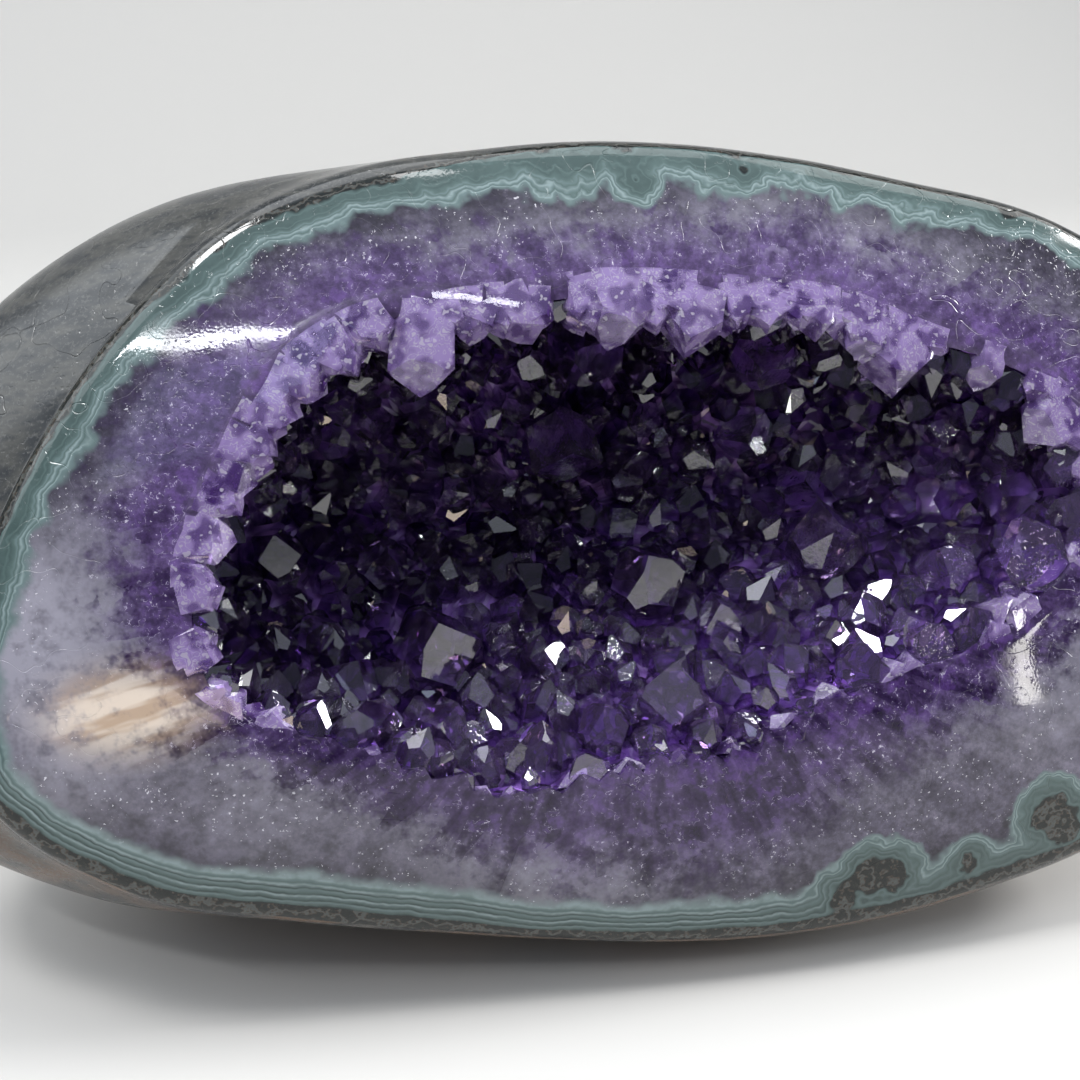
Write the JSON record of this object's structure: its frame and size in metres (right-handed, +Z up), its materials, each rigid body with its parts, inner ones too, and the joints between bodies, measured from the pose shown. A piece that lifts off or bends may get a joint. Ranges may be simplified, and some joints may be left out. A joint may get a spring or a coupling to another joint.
{
  "type": "amethyst geode",
  "caption": "Polished freeform amethyst geode: a stone with a leaning oval cut face round a hollow lined with violet quartz crystals.",
  "frame": {"origin": "centre of the bounding box's underside, on the surface that the stone stands on", "axes": "+X to the right along the length of the cut face as it is looked at, -Y the way the cut face looks, +Z up"},
  "size_m": [0.2582, 0.1082, 0.1407],
  "materials": {
    "polished_agate_and_basalt": "polished",
    "amethyst": "glassy crystal faces"
  },
  "bodies": {
    "root": {"polished_stone": "polished_agate_and_basalt", "amethyst_crust": "amethyst"}
  },
  "joints": []
}
